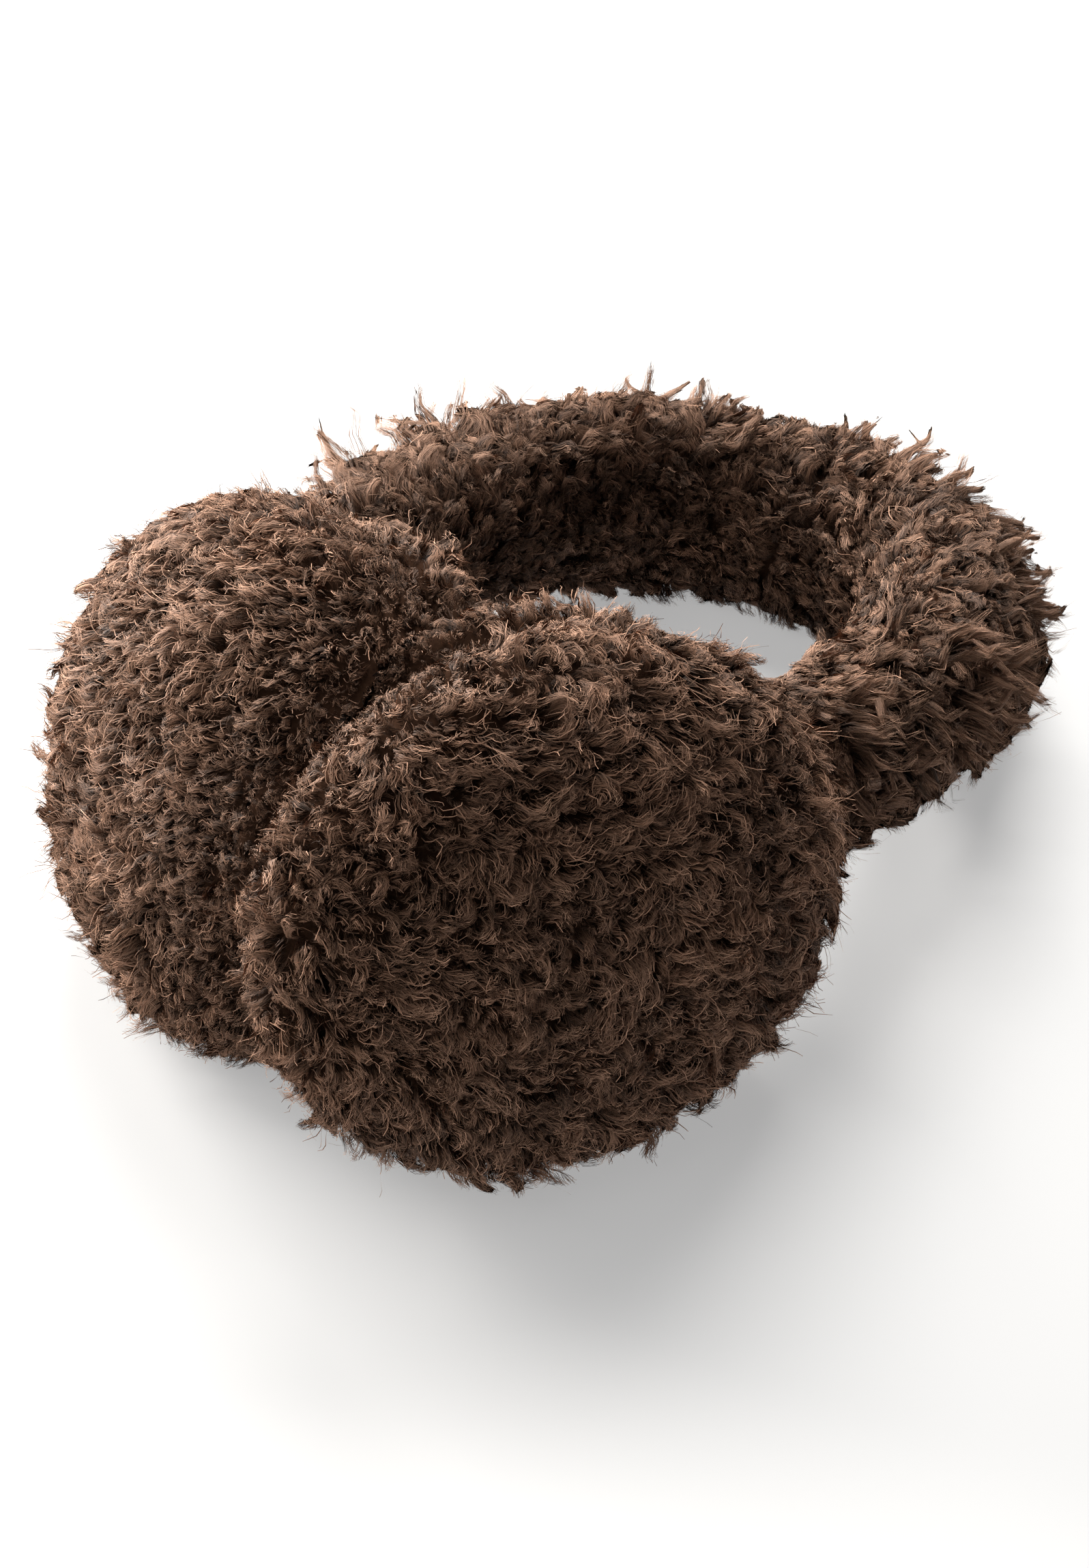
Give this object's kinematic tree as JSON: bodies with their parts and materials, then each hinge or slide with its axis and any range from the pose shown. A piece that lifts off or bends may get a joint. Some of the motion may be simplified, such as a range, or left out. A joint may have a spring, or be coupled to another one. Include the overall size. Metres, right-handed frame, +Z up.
{
  "type": "fur earmuffs",
  "caption": "Thick earmuffs of deep brown curly fur, with domed oval ear cups, ear pads and a fur-covered headband, lying on a table.",
  "frame": {"origin": "bottom centre of the box around the object as it lies on the table", "axes": "+Z up from the table, +Y from the ear cups towards the middle of the headband, +X towards the right ear cup"},
  "size_m": [0.2004, 0.2914, 0.1277],
  "materials": {
    "cup_fur": "deep curly fur",
    "pad_fur": "shorter curly fur",
    "band_fur": "shaggy curly fur"
  },
  "bodies": {
    "root": {"right_ear_cup": "cup_fur", "left_ear_cup": "cup_fur", "right_ear_pad": "pad_fur", "left_ear_pad": "pad_fur", "headband": "band_fur"}
  },
  "joints": []
}
